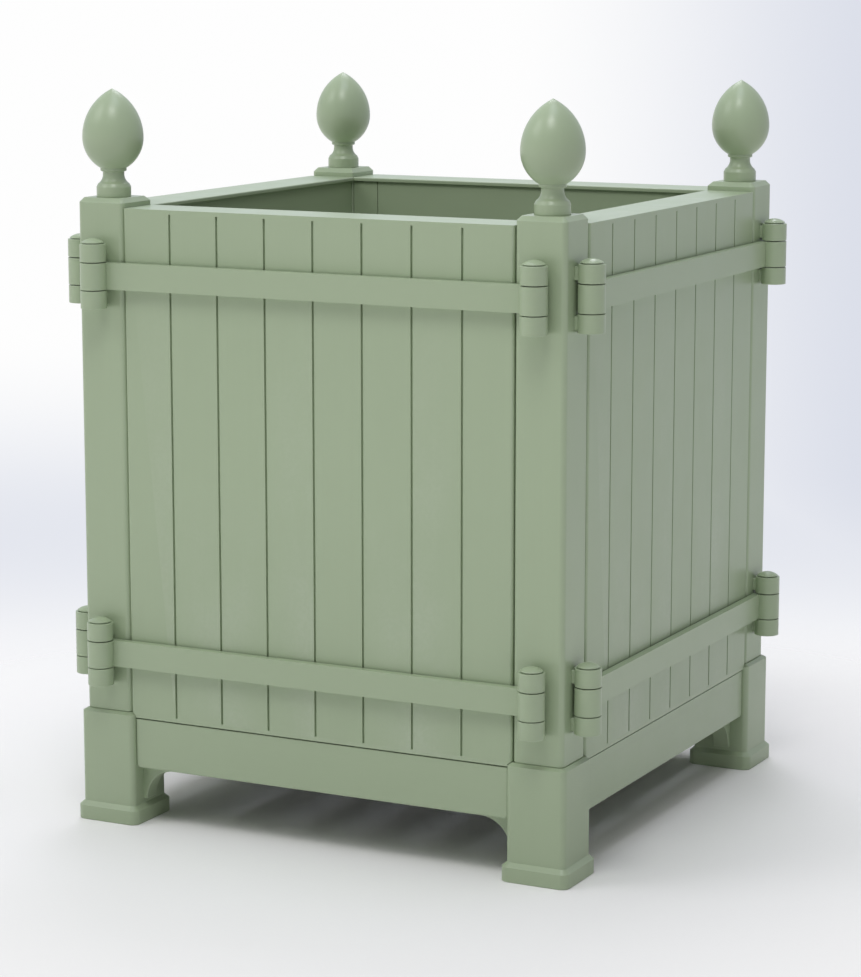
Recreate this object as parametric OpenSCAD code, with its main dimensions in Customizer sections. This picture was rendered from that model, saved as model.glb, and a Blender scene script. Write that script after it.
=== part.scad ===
// Versailles planter, painted, with barred sides and lift-out hinge pins.
//
// Four foot blocks and four base rails make a stand. A square post with a
// turned finial rises from each foot. Between the posts stand four sides:
// a grooved face panel, two end stiles, an inner lining board and a wide cap.
// Two flat bars lie across each side. Each end of a bar is an eye that sits
// between two knuckles let into the post, held by a domed pin.
//
// Millimetres. Origin: centre of the plan, on the ground. +Z up, front at -Y.

/* [Plan and heights] */
// Width over the posts, the same on both sides
body_w = 543.4; // [480:0.1:700]
// Width and depth of a post
post_w = 53.7; // [46:0.1:60]
// Height of the top of the posts
post_top = 649.5; // [560:0.5:800]
// Height of the top of the caps
cap_top = 640.2; // [550:0.1:790]
// Height of the finial's tip
tip_z = 758.4; // [730:0.1:780]

/* [Stand] */
// Height of a foot block
foot_h = 118.6; // [116:0.1:125]
// How far a foot stands proud of its post
foot_proud = 4.7; // [4:0.1:8]
// Height of the slope on top of a foot
foot_slope = 2.7; // [2:0.1:5]
// How far the foot's plinth stands proud of the foot
plinth_proud = 4.6; // [3:0.1:8]
// Height of the upright part of the plinth
plinth_h = 15; // [10:1:20]
// Height of the slope over the plinth
plinth_slope = 4.3; // [3:0.1:6]
// Height of the underside of the base rails
rail_z = 60.3; // [45:0.1:65]
// Height of the top of the base rails
rail_top = 112.5; // [105:0.1:113]
// Thickness of a base rail
rail_t = 46.7; // [38:0.1:48]
// How far a base rail lies behind the face of the posts
rail_set = 1; // [0.5:0.1:5]
// Size of a corbel along the rail and down the foot
corbel_s = 36.5; // [30:0.5:39]
// Radius of the corbel's hollow curve
corbel_r = 32.5; // [26:0.5:35]
// Thickness of a corbel
corbel_t = 18; // [12:1:24]
// How far a corbel lies behind the face of the posts
corbel_set = 14.7; // [8:0.1:18]

/* [Sides] */
// Gap between a side and the posts
side_gap = 0.6; // [0.2:0.1:2]
// Shadow gap between a base rail and the face panel over it
sill_gap = 1.4; // [1:0.1:4]
// Thickness of a face panel
panel_t = 18; // [12:1:22]
// Number of boards that the grooves mark out
boards = 8; // [4:1:12]
// Width of a groove
groove_w = 2.2; // [1.5:0.1:4]
// Depth of a groove
groove_d = 3; // [1.5:0.5:5]
// How far a groove stops short of the panel's top and bottom
groove_stop = 4.5; // [3:0.5:12]
// Thickness of a whole side at the lining
side_t = 52; // [46:1:56]
// Thickness of a lining board
lining_t = 12.5; // [9:0.5:16]
// Width of an end stile
stile_w = 30; // [24:1:40]
// Thickness of the cap over the hollow of the side
cap_t = 22; // [14:1:30]
// Thickness of the cap's lip over the lining
lip_t = 4.3; // [3:0.1:8]
// How far the lip overhangs the lining
lip_over = 3; // [2:0.5:6]

/* [Bars and hinges] */
// Height of a bar
bar_h = 27.2; // [20:0.1:40]
// Thickness of a bar
bar_t = 8.4; // [6:0.2:10]
// Gap between a bar and the post behind it
bar_gap = 1; // [0.5:0.1:4]
// Outside diameter of the knuckles and eyes
barrel_d = 26.6; // [22:0.1:32]
// Height of a fixed knuckle
knuckle_h = 18.2; // [14:0.1:26]
// Gap between a knuckle and the eye
knuckle_gap = 1; // [0.3:0.1:1.5]
// Height of the middle of the upper bars
upper_z = 572.1; // [500:0.1:600]
// Height of the middle of the lower bars
lower_z = 181.9; // [170:0.1:260]
// Width of the shank that holds a knuckle
shank_w = 15; // [8:1:16]
// Height of the shank
shank_h = 13.2; // [8:0.1:14]
// How deep a shank is let into its post
shank_in = 16; // [8:1:18]
// Diameter of a pin
pin_d = 10; // [6:0.5:12]
// Room round a pin in its bore
pin_play = 0.3; // [0.2:0.05:0.6]
// Length of a pin below its head
pin_l = 62; // [50:1:64]
// Diameter of a pin's head
head_d = 22.4; // [16:0.1:26]
// Height of a pin's domed head
head_h = 5.4; // [4:0.1:8]
// Diameter of the neck under the head
neck_d = 19; // [14:0.5:22]
// Height of that neck
neck_h = 0.9; // [0.5:0.1:2]

/* [Finial] */
// Radius of the egg at its widest
egg_r = 31; // [24:0.5:34]
// Height of the widest place over the post
egg_rise = 60; // [55:1:64]
// Radius of the arc under the widest place
egg_low_r = 36; // [34:0.5:40]
// Radius of the collar under the egg
collar_r = 13.3; // [12:0.1:15]
// Radius of the neck
neck_r = 10.9; // [8:0.1:12]
// Radius of the base ring
ring_r = 17.5; // [15:0.1:22]
// Height of the base ring
ring_h = 10.1; // [8:0.1:11]
// Diameter of the spigot in the post
spigot_d = 12; // [8:1:16]

/* [Floor] */
// Number of floor boards
floor_boards_n = 6; // [4:1:8]
// Gap between two floor boards
floor_gap = 6; // [4:1:10]
// Thickness of a floor board
floor_t = 16; // [12:1:20]
// Height of the top of the floor
floor_top = 106; // [98:1:112]
// Thickness of a bearer
bearer_t = 25; // [18:1:30]

/* [Hidden] */
$fn = 48;
eps = 0.01;
play = 0.2;

CORNERS = ["front_left", "front_right", "back_right", "back_left"];
SIDES = ["front", "right", "back", "left"];
LEVELS = ["upper", "lower"];
ENDS = ["left", "right"];

PAINT_FRONT = [0.61, 0.66, 0.56];
PAINT_CAP = [0.78, 0.82, 0.78];
PAINT_INSIDE = [0.42, 0.47, 0.38];
PAINT_STEEL = [0.62, 0.67, 0.58];

half = body_w / 2;
inner = half - post_w;
post_c = half - post_w / 2;
foot_w = post_w + 2 * foot_proud;
foot_in = post_c - foot_w / 2;
plinth_w = foot_w + 2 * plinth_proud;
foot_cham = foot_proud - 0.5;
post_r = 5.7;
post_inner_r = 1;
post_cham = 4.5;

rail_len = 2 * foot_in;
rail_y = half - rail_set;
tenon_t = 20;
tenon_h = 32;
tenon_l = 18.5;
tenon_z = rail_z + 5;
post_tenon_w = 24;
post_tenon_l = 20;

side_half = inner - side_gap;
side_z = rail_top;
panel_z = rail_top + sill_gap;
lining_y = half - side_t;
lip_y = lining_y - lip_over;
board_w = 2 * side_half / boards;
inner_top = cap_top - lip_t - 0.8;
foot_clear = 0.3;
joint = 0.6;

barrel_r = barrel_d / 2;
axis_out = bar_gap + barrel_r;
bore_r = pin_d / 2 + pin_play;
barrel_top = bar_h / 2 + knuckle_gap + knuckle_h;
LEVEL_Z = [upper_z, lower_z];

egg_z = post_top + egg_rise;
egg_low_x = egg_r - egg_low_r;
egg_low_h = sqrt(pow(egg_low_r, 2) - pow(collar_r - egg_low_x, 2));
egg_up_h = tip_z - egg_z;
egg_up_r = (pow(egg_r, 2) + pow(egg_up_h, 2)) / (2 * egg_r);
egg_tip_r = 0.8;
egg_tip_a = acos((egg_tip_r - egg_r + egg_up_r) / egg_up_r);
collar_z = egg_z - egg_low_h;
collar_h = 3.4;
cove_r = 11;
cove_z = post_top + 22.5;
shoulder_r = ring_r - 1.7;

span = 2 * (foot_in - 0.5);
floor_board_w = (span - (floor_boards_n - 1) * floor_gap) / floor_boards_n;

// ---- places ----

// Corner i, counted anticlockwise from the front left.
module at_corner(i) {
    rotate([0, 0, 90 * i]) children();
}

// Side i, counted anticlockwise from the front.
module at_side(i) {
    rotate([0, 0, 90 * i]) children();
}

// A hinge axis on the front: end 0 is the left one, 1 the right one.
module at_hinge(end, z) {
    translate([end == 0 ? -post_c : post_c, -half - axis_out, z]) children();
}

// ---- shapes ----

// A square with true round corners, centred. The corner towards +X and +Y,
// which faces the inside of the planter, may have a radius of its own.
module soft_square(w, r, inner_r) {
    square([w, w - 2 * r], center = true);
    square([w - 2 * r, w], center = true);
    for (p = [[-1, -1], [-1, 1], [1, -1]])
        translate(p * (w / 2 - r)) circle(r = r);
    translate([w / 2 - inner_r, w / 2 - inner_r]) circle(r = inner_r);
    if (inner_r < r) {
        translate([w / 2 - r, w / 2 - r]) square([r, r - inner_r]);
        translate([w / 2 - r, w / 2 - r]) square([r - inner_r, r]);
    }
}

// Slopes the four top edges of a square block: in by run, down by drop.
module slope_top(w, z, run, drop) {
    difference() {
        children();
        for (a = [0:90:270])
            rotate([0, 0, a])
                translate([0, -w / 2, 0])
                    rotate([90, 0, 90])
                        linear_extrude(2 * w, center = true)
                            polygon([[-1, z - drop - drop / run],
                                     [run, z],
                                     [run, z + 1],
                                     [-1, z + 1]]);
    }
}

// A block along X whose outer lower edge (towards -Y) is rounded.
module rail_bar(len, y0, y1, z0, z1, r) {
    rotate([90, 0, 90])
        linear_extrude(len, center = true) {
            translate([y0 + r, z0]) square([y1 - y0 - r, z1 - z0]);
            translate([y0, z0 + r]) square([r + eps, z1 - z0 - r]);
            translate([y0 + r, z0 + r]) circle(r = r);
        }
}

// The space that a foot takes, with clearance, cut from what stands beside it.
module foot_space() {
    x = foot_in - foot_clear;
    z = foot_h + foot_clear;
    for (m = [0, 1])
        mirror([m, 0, 0])
            translate([0, -x, 0])
                rotate([90, 0, 0])
                    linear_extrude(foot_w + 2 * foot_clear)
                        polygon([[x, -1],
                                 [x + foot_w, -1],
                                 [x + foot_w, z],
                                 [x + foot_cham, z],
                                 [x, z - foot_slope]]);
}

// ---- stand ----

// A foot block with its plinth, sloped top and the mortises it holds.
module foot() {
    color(PAINT_FRONT)
        translate([-post_c, -post_c, 0])
            difference() {
                union() {
                    slope_top(foot_w, foot_h, foot_cham, foot_slope)
                        linear_extrude(foot_h) soft_square(foot_w, post_r, post_r);
                    slope_top(plinth_w, plinth_h + plinth_slope, plinth_proud, plinth_slope)
                        linear_extrude(plinth_h + plinth_slope)
                            soft_square(plinth_w, post_r + 2, post_r + 2);
                }
                translate([foot_w / 2 - tenon_l - play, -tenon_t / 2, tenon_z - play])
                    cube([tenon_l + play + 1, tenon_t, tenon_h + 2 * play]);
                translate([-tenon_t / 2, foot_w / 2 - tenon_l - play, tenon_z - play])
                    cube([tenon_t, tenon_l + play + 1, tenon_h + 2 * play]);
                translate([-post_tenon_w / 2, -post_tenon_w / 2, foot_h - post_tenon_l - play])
                    cube([post_tenon_w, post_tenon_w, post_tenon_l + play + 1]);
            }
}

// A base rail with its two tenons and an eased lower edge.
module base_rail() {
    color(PAINT_FRONT) {
        rail_bar(rail_len, -rail_y, -rail_y + rail_t, rail_z, rail_top, 2.5);
        for (x = [-1, 1])
            translate([x * (foot_in + tenon_l / 2), -post_c, tenon_z + tenon_h / 2])
                cube([tenon_l, tenon_t, tenon_h], center = true);
    }
}

// One corbel: a square with a hollow quarter round, under a rail at a foot.
module corbel() {
    translate([-foot_in, -half + corbel_set, 0])
        rotate([90, 0, 0])
            translate([0, 0, -corbel_t])
                linear_extrude(corbel_t)
                    difference() {
                        translate([0, rail_z - corbel_s]) square(corbel_s);
                        translate([corbel_s, rail_z - corbel_s]) circle(r = corbel_r);
                    }
}

// All eight corbels, two under each rail.
module corbels() {
    color(PAINT_FRONT)
        for (i = [0:3])
            at_side(i) {
                corbel();
                mirror([1, 0, 0]) corbel();
            }
}

// ---- posts and finials ----

// Pockets for the shanks on the front face of the left post.
module shank_pockets() {
    for (z = LEVEL_Z, s = [-1, 1])
        translate([-post_c, -half, z + s * knuckle_mid()])
            cube([shank_w, 2 * (shank_in + play), shank_h], center = true);
}

// Height of a fixed knuckle's middle over the middle of its bar.
function knuckle_mid() = bar_h / 2 + knuckle_gap + knuckle_h / 2;

// A post with round upright edges, a sloped top, a tenon and its pockets.
module post() {
    color(PAINT_FRONT)
        difference() {
            union() {
                translate([-post_c, -post_c, 0])
                    slope_top(post_w, post_top, post_cham, post_cham)
                        translate([0, 0, foot_h])
                            linear_extrude(post_top - foot_h)
                                soft_square(post_w, post_r, post_inner_r);
                translate([-post_c, -post_c, foot_h - post_tenon_l / 2])
                    cube([post_tenon_w, post_tenon_w, post_tenon_l], center = true);
            }
            shank_pockets();
            rotate([0, 0, -90]) mirror([1, 0, 0]) shank_pockets();
            translate([-post_c, -post_c, post_top - 26])
                cylinder(d = spigot_d, h = 30);
        }
}

// Points along an arc about [x, z], from angle a0 to a1, both ends included.
function arc(x, z, r, a0, a1, n) =
    [for (k = [0:n]) [x + r * cos(a0 + (a1 - a0) * k / n),
                      z + r * sin(a0 + (a1 - a0) * k / n)]];

// Half the outline of the egg: a rounder arc below its widest place, a
// flatter one above that runs to the tip.
module egg_outline() {
    polygon(concat(
        [[0, collar_z]],
        arc(egg_low_x, egg_z, egg_low_r, -asin(egg_low_h / egg_low_r), 0, 10),
        arc(egg_r - egg_up_r, egg_z, egg_up_r, 0, egg_tip_a, 14),
        [[0, tip_z]]
    ));
}

// Half the outline of what stands between the egg and the post: a collar, a
// cove that widens to a shoulder, and a ring with a sloped upper edge.
module neck_outline() {
    cove_a = acos((shoulder_r - neck_r - cove_r) / cove_r);
    polygon(concat(
        [[0, collar_z + eps],
         [collar_r, collar_z + eps],
         [collar_r, collar_z - collar_h + 0.8],
         [collar_r - 1, collar_z - collar_h],
         [neck_r, collar_z - collar_h]],
        arc(neck_r + cove_r, cove_z, cove_r, 180, 360 - cove_a, 6),
        [[ring_r, post_top + ring_h],
         [ring_r, post_top],
         [spigot_d / 2, post_top],
         [spigot_d / 2, post_top - 24],
         [spigot_d / 2 - 1, post_top - 25],
         [0, post_top - 25]]
    ));
}

// A turned finial on its spigot.
module finial() {
    color(PAINT_FRONT)
        translate([-post_c, -post_c, 0]) {
            rotate_extrude() egg_outline();
            rotate_extrude() neck_outline();
        }
}

// ---- sides ----

// A face panel: one board with round upright edges and stopped grooves.
module face_panel() {
    edge = 3;
    color(PAINT_FRONT)
        difference() {
            translate([0, 0, panel_z])
                linear_extrude(cap_top - panel_z) {
                    translate([-side_half + edge, -half])
                        square([2 * (side_half - edge), panel_t]);
                    translate([-side_half, -half + edge])
                        square([2 * side_half, panel_t - edge]);
                    for (x = [-1, 1])
                        translate([x * (side_half - edge), -half + edge]) circle(r = edge);
                }
            for (k = [1:boards - 1])
                translate([-side_half + k * board_w - groove_w / 2,
                           -half - 1,
                           panel_z + groove_stop])
                    cube([groove_w, groove_d + 1, cap_top - panel_z - 2 * groove_stop]);
            foot_space();
        }
}

// A cap: a thick bar behind the face panel with a thin lip over the lining.
module cap() {
    back = -half + panel_t;
    step = -lining_y - lining_t;
    color(PAINT_CAP)
        difference() {
            rotate([90, 0, 90])
                linear_extrude(2 * side_half, center = true)
                    polygon([[back, cap_top],
                             [-lip_y - 1, cap_top],
                             [-lip_y, cap_top - 1],
                             [-lip_y, cap_top - lip_t],
                             [step, cap_top - lip_t],
                             [step, cap_top - cap_t],
                             [back, cap_top - cap_t]]);
            // the lip's ends are mitred where two sides meet
            for (x = [-1, 1])
                translate([x * (lip_y - play), -lip_y, cap_top])
                    rotate([0, 0, x * 45])
                        translate([x * 10, 0, 0])
                            cube([20, 40, 3 * cap_t], center = true);
        }
}

// A lining board under the cap's lip, from the left end to the right stile.
module lining() {
    color(PAINT_INSIDE)
        difference() {
            translate([-side_half, -lining_y - lining_t, side_z])
                cube([2 * side_half - stile_w - joint, lining_t, inner_top - side_z]);
            foot_space();
        }
}

// An end stile on the right end of a side, behind the face panel and the cap.
module end_stile(depth) {
    difference() {
        translate([side_half - stile_w, -half + panel_t, side_z])
            cube([stile_w, depth, inner_top - side_z]);
        translate([side_half - stile_w - 1, -half + panel_t - 1, cap_top - cap_t])
            cube([stile_w + 2, side_t - panel_t - lining_t + 1, cap_t]);
        foot_space();
    }
}

// The eight end stiles. The right one of each side shows inside, next to the
// lining; the left one stands behind it.
module end_stiles() {
    color(PAINT_INSIDE)
        for (i = [0:3])
            at_side(i) {
                end_stile(side_t - panel_t);
                mirror([1, 0, 0]) end_stile(side_t - panel_t - lining_t);
            }
}

// ---- bars, knuckles and pins ----

// A bar with an eye at each end, its back in line with the back of the eyes.
module bar(z) {
    color(PAINT_STEEL)
        difference() {
            union() {
                translate([-post_c, -half - bar_gap - bar_t, z - bar_h / 2])
                    cube([2 * post_c, bar_t, bar_h]);
                for (e = [0, 1])
                    at_hinge(e, z) cylinder(r = barrel_r, h = bar_h, center = true);
            }
            for (e = [0, 1])
                at_hinge(e, z) cylinder(r = bore_r, h = bar_h + 2, center = true);
        }
}

// A fixed knuckle with the shank that goes into the post, on the left end.
module knuckle(z) {
    at_hinge(0, z)
        difference() {
            union() {
                cylinder(r = barrel_r, h = knuckle_h, center = true);
                translate([-shank_w / 2, 0, -shank_h / 2])
                    cube([shank_w, axis_out + shank_in, shank_h]);
            }
            cylinder(r = bore_r, h = knuckle_h + 2, center = true);
        }
}

// The eight knuckles of one post: two hinges on each outer face.
module knuckles() {
    color(PAINT_STEEL)
        for (z = LEVEL_Z, s = [-1, 1]) {
            knuckle(z + s * knuckle_mid());
            rotate([0, 0, -90]) mirror([1, 0, 0]) knuckle(z + s * knuckle_mid());
        }
}

// A pin with a domed head over a narrower neck, resting on the upper knuckle.
module pin(end, z) {
    rim_h = 0.7;
    rise = head_h - neck_h - rim_h;
    dome_r = (pow(head_d / 2, 2) + pow(rise, 2)) / (2 * rise);
    color(PAINT_STEEL)
        at_hinge(end, z + barrel_top)
            rotate_extrude() {
                translate([0, head_h - dome_r])
                    intersection() {
                        circle(r = dome_r);
                        translate([0, dome_r - rise]) square([head_d, head_h]);
                    }
                translate([0, neck_h]) square([head_d / 2, rim_h + eps]);
                square([neck_d / 2, neck_h + eps]);
                translate([0, -pin_l + 1.5]) square([pin_d / 2, pin_l]);
                translate([0, -pin_l])
                    polygon([[0, 0], [pin_d / 2 - 1.5, 0], [pin_d / 2, 1.5], [0, 1.5]]);
            }
}

// ---- floor ----

// Slatted floor: the gaps let water through.
module floor_boards() {
    color(PAINT_INSIDE)
        for (k = [0:floor_boards_n - 1])
            translate([-span / 2 + k * (floor_board_w + floor_gap),
                       -span / 2,
                       floor_top - floor_t])
                cube([floor_board_w, span, floor_t]);
}

// Two bearers along the front and back rails, and one across the middle.
module floor_bearers() {
    z = floor_top - floor_t - bearer_t;
    rail_in = rail_y - rail_t;
    color(PAINT_INSIDE) {
        for (s = [-1, 1])
            translate([0, s * (rail_in - bearer_t / 2), z + bearer_t / 2])
                cube([span, bearer_t, bearer_t], center = true);
        translate([0, 0, z + bearer_t / 2])
            cube([2 * rail_in, bearer_t, bearer_t], center = true);
    }
}

// ---- the object ----

for (i = [0:3]) {
    at_corner(i) foot();
    at_corner(i) post();
    at_corner(i) finial();
    at_corner(i) knuckles();
    at_side(i) base_rail();
    at_side(i) face_panel();
    at_side(i) cap();
    at_side(i) lining();
    for (l = [0, 1]) {
        at_side(i) bar(LEVEL_Z[l]);
        for (e = [0, 1])
            at_side(i) pin(e, LEVEL_Z[l]);
    }
}
corbels();
end_stiles();
floor_boards();
floor_bearers();
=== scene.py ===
"""Fine shapes, paint and light for a Versailles planter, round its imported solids.

Metres throughout, in the frame of the solids: +Z up, the front towards -Y, the
origin on the ground under the middle of the plan. Sides are counted
anticlockwise from the front, corners anticlockwise from the front left one.
A piece is made once, at the front or the front left, and turned to its places.
"""

import logging
import math
from dataclasses import dataclass, field
from enum import Enum
from functools import reduce
from typing import Any, Callable, Iterable, Sequence

import bmesh
import bpy
import numpy as np
from bmesh.types import BMEdge, BMVert
from bpy.types import Material, Mesh, Node, NodeSocket, NodeTree, Object, World
from mathutils import Matrix, Vector


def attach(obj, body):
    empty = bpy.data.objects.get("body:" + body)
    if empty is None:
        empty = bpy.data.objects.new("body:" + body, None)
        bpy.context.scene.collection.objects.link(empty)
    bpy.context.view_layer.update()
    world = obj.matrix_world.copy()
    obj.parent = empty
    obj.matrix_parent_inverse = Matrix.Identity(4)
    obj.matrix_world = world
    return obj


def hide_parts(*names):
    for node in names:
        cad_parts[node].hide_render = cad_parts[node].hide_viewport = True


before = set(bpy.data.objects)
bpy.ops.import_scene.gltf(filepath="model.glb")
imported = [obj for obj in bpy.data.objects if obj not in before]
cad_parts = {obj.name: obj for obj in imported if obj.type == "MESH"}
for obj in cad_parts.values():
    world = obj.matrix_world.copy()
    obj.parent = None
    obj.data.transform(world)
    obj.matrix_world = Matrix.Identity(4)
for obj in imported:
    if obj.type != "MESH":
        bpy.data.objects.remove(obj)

LOG = logging.getLogger("planter")
Point = tuple[float, float]
Span = tuple[float, float]
Triple = tuple[float, float, float]
Colour = tuple[float, float, float, float]
EDGE_WEAR = "edge_wear"
# slack where an edge is picked by its place, and the distance at which points merge
NEAR = 1e-4
MERGE = 1e-6


# ---- named choices ----


class Quarter(Enum):
    """A place that quarter turns about the middle of the planter reach."""

    @property
    def label(self) -> str:
        """The place's name in lower case, as the nodes write it."""
        return self.name.lower()

    @property
    def turn(self) -> Matrix:
        """The turn that takes a piece from the first place to this one."""
        return Matrix.Rotation(math.radians(90 * self.value), 4, "Z")


class Side(Quarter):
    """The four sides of the planter."""

    FRONT = 0
    RIGHT = 1
    BACK = 2
    LEFT = 3


class Corner(Quarter):
    """The four corners of the planter."""

    FRONT_LEFT = 0
    FRONT_RIGHT = 1
    BACK_RIGHT = 2
    BACK_LEFT = 3


class Level(Enum):
    """Height of the middle of a bar and of its two hinges."""

    UPPER = 0.5721
    LOWER = 0.1819


class End(Enum):
    """Which end of a bar a hinge is on, seen from outside."""

    LEFT = -1
    RIGHT = 1


class Slot(Enum):
    """Material slots of the record."""

    TIMBER = "painted_timber"
    STEEL = "painted_steel"


class Coat(Enum):
    """Coats of paint: on timber they follow the way the brush went."""

    UPRIGHT = "paint_brushed_upright"
    ALONG_X = "paint_brushed_along_x"
    ALONG_Y = "paint_brushed_along_y"
    TURNED = "paint_on_turned_work"
    STEEL = "paint_on_steel"
    PRIMED_X = "primer_along_x"
    PRIMED_Y = "primer_along_y"

    @staticmethod
    def along(side: Side) -> "Coat":
        """The coat of a piece that lies along a side."""
        return Coat.ALONG_X if side in (Side.FRONT, Side.BACK) else Coat.ALONG_Y


# ---- sizes that the sub-assemblies share ----


@dataclass(frozen=True)
class Plan:
    """Main sizes of the planter."""

    half: float = 0.2717
    post_w: float = 0.0537
    post_top: float = 0.6495
    foot_w: float = 0.0631
    foot_h: float = 0.1186
    foot_rise: float = 0.0027
    foot_run: float = 0.0042
    corner_r: float = 0.0057
    rail_z: float = 0.0603
    rail_top: float = 0.1125
    sill_gap: float = 0.0014
    cap_top: float = 0.6402
    cap_t: float = 0.022
    lip_t: float = 0.0043
    lip_gap: float = 0.0002
    side_gap: float = 0.0006
    panel_t: float = 0.018
    side_t: float = 0.052
    lining_t: float = 0.0125
    stile_w: float = 0.030
    joint: float = 0.0006
    foot_clear: float = 0.0003

    @property
    def post_c(self) -> float:
        """Distance of a post's middle from the middle of the plan."""
        return self.half - self.post_w / 2

    @property
    def foot_in(self) -> float:
        """Distance of a foot's inner face from the middle of the plan."""
        return self.post_c - self.foot_w / 2

    @property
    def side_half(self) -> float:
        """Half the width of a side between two posts."""
        return self.half - self.post_w - self.side_gap

    @property
    def inner_top(self) -> float:
        """Height of a lining board's top, just under the lip of its cap."""
        return self.cap_top - self.lip_t - self.lip_gap

    @property
    def notch(self) -> list[Point]:
        """X and z of the two points where the right end of a side clears the slope of a foot."""
        near = self.foot_in - self.foot_clear
        low = self.foot_h + self.foot_clear - self.foot_rise
        rise = (self.side_half - near) * self.foot_rise / self.foot_run
        return [(near, low), (self.side_half, low + rise)]


# ---- outlines ----


def arc(middle: Point, radius: float, first: float, last: float, steps: int) -> list[Point]:
    """Points along an arc, both ends included.

    Args:
        middle: Centre of the arc.
        radius: Its radius.
        first: Angle of the first point, in degrees.
        last: Angle of the last point, in degrees.
        steps: Number of straight steps.

    Returns:
        The points in order.
    """
    angles = [math.radians(first + (last - first) * k / steps) for k in range(steps + 1)]
    return [(middle[0] + radius * math.cos(a), middle[1] + radius * math.sin(a)) for a in angles]


def eased(corners: Sequence[Triple], steps: int = 3, closed: bool = True) -> list[Point]:
    """Rounds the corners of an outline.

    Args:
        corners: x, y and the radius of each corner; 0 leaves a corner sharp.
        steps: Straight steps in each rounded corner.
        closed: Whether the last corner joins the first.

    Returns:
        The points of the rounded outline.
    """
    points: list[Point] = []
    count = len(corners)
    for k, (x, y, radius) in enumerate(corners):
        if radius <= 0 or (not closed and k in (0, count - 1)):
            points.append((x, y))
            continue
        here = Vector((x, y))
        before = (Vector(corners[k - 1][:2]) - here).normalized()
        after = (Vector(corners[(k + 1) % count][:2]) - here).normalized()
        half_angle = before.angle(after) / 2
        reach = radius / math.tan(half_angle)
        middle = here + (before + after).normalized() * (radius / math.sin(half_angle))
        start = here + before * reach - middle
        sweep = start.angle_signed(here + after * reach - middle)
        for i in range(steps + 1):
            spoke = start.copy()
            spoke.rotate(Matrix.Rotation(-sweep * i / steps, 2))
            points.append((middle.x + spoke.x, middle.y + spoke.y))
    return points


def mirrored(points: Sequence[Point]) -> list[Point]:
    """The points with their first numbers turned round, in the opposite order."""
    return [(-x, y) for x, y in reversed(points)]


def soft_square(half: float, radius: float, inner: float, steps: int = 6) -> list[Point]:
    """A square with round corners about the origin, anticlockwise.

    Args:
        half: Half the square's width.
        radius: Radius of three of its corners.
        inner: Radius of the corner towards +X and +Y.
        steps: Straight steps in each corner.

    Returns:
        The points of the outline.
    """
    points: list[Point] = []
    for k, (sx, sy) in enumerate(((1, 1), (-1, 1), (-1, -1), (1, -1))):
        r = radius if k else inner
        points += arc((sx * (half - r), sy * (half - r)), r, 90 * k, 90 * k + 90, steps)
    return points


# ---- meshes ----


class Shape:
    """A mesh in the making, kept as a bmesh until it is settled."""

    def __init__(self) -> None:
        """Starts with no faces."""
        self.bm = bmesh.new()

    def skin(self, loops: Sequence[Sequence[Vector]]) -> "Shape":
        """Joins closed loops of equal length by four-sided faces, and closes both ends.

        Args:
            loops: The loops in order, each a list of points.

        Returns:
            This shape.
        """
        rows = [[self.bm.verts.new(p) for p in loop] for loop in loops]
        for low, high in zip(rows, rows[1:]):
            for k in range(len(low)):
                n = (k + 1) % len(low)
                self.bm.faces.new((low[k], low[n], high[n], high[k]))
        self.bm.faces.new(rows[0])
        self.bm.faces.new(rows[-1])
        return self

    def prism(self, outline: Sequence[Point], axis: str, low: float, high: float) -> "Shape":
        """Adds a prism.

        Args:
            outline: The cross-section, in the order x, y, z without the axis.
            axis: "X", "Y" or "Z", the way the prism runs.
            low: Where it starts along the axis.
            high: Where it ends.

        Returns:
            This shape.
        """
        spot = {
            "X": lambda p, a: Vector((a, p[0], p[1])),
            "Y": lambda p, a: Vector((p[0], a, p[1])),
            "Z": lambda p, a: Vector((p[0], p[1], a)),
        }[axis]
        return self.skin([[spot(p, a) for p in outline] for a in (low, high)])

    def ease(self, width: float, steps: int = 3, where: Callable[[Vector], bool] | None = None,
             least: float = 32.0) -> "Shape":
        """Rounds the sharp edges.

        Args:
            width: How far each edge is cut back.
            steps: Faces across the rounding.
            where: Takes an edge's middle and says whether it is rounded; all
                sharp edges are where it is left out.
            least: Smallest angle between two faces that counts as sharp.

        Returns:
            This shape.
        """
        self.true_up()
        chosen = []
        for edge in self.bm.edges:
            if len(edge.link_faces) != 2 or edge.calc_face_angle(0) < math.radians(least):
                continue
            a, b = (v.co for v in edge.verts)
            if where is None or where((a + b) / 2):
                chosen.append(edge)
        bmesh.ops.bevel(self.bm, geom=chosen, offset=width, offset_type="OFFSET", segments=steps,
                        profile=0.5, affect="EDGES", clamp_overlap=True)
        return self

    def true_up(self) -> "Shape":
        """Merges doubles and turns every face outwards."""
        bmesh.ops.remove_doubles(self.bm, verts=self.bm.verts, dist=MERGE)
        bmesh.ops.recalc_face_normals(self.bm, faces=self.bm.faces)
        return self

    def move(self, matrix: Matrix) -> "Shape":
        """Moves or turns all that the shape holds so far."""
        self.bm.transform(matrix)
        return self

    def add(self, other: "Shape") -> "Shape":
        """Takes the faces of another shape into this one."""
        mesh = other.mesh("part")
        self.bm.from_mesh(mesh)
        bpy.data.meshes.remove(mesh)
        return self

    def mesh(self, name: str) -> Mesh:
        """Hands the faces over as a mesh and lets the bmesh go."""
        mesh = bpy.data.meshes.new(name)
        self.bm.to_mesh(mesh)
        self.bm.free()
        return mesh

    @staticmethod
    def of(mesh: Mesh) -> "Shape":
        """A shape that starts with the faces of a mesh, which is removed."""
        shape = Shape()
        shape.bm.from_mesh(mesh)
        bpy.data.meshes.remove(mesh)
        return shape


def placed(name: str, data: Any) -> Object:
    """Puts an object with its data into the scene."""
    thing = bpy.data.objects.new(name, data)
    bpy.context.scene.collection.objects.link(thing)
    return thing


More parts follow.
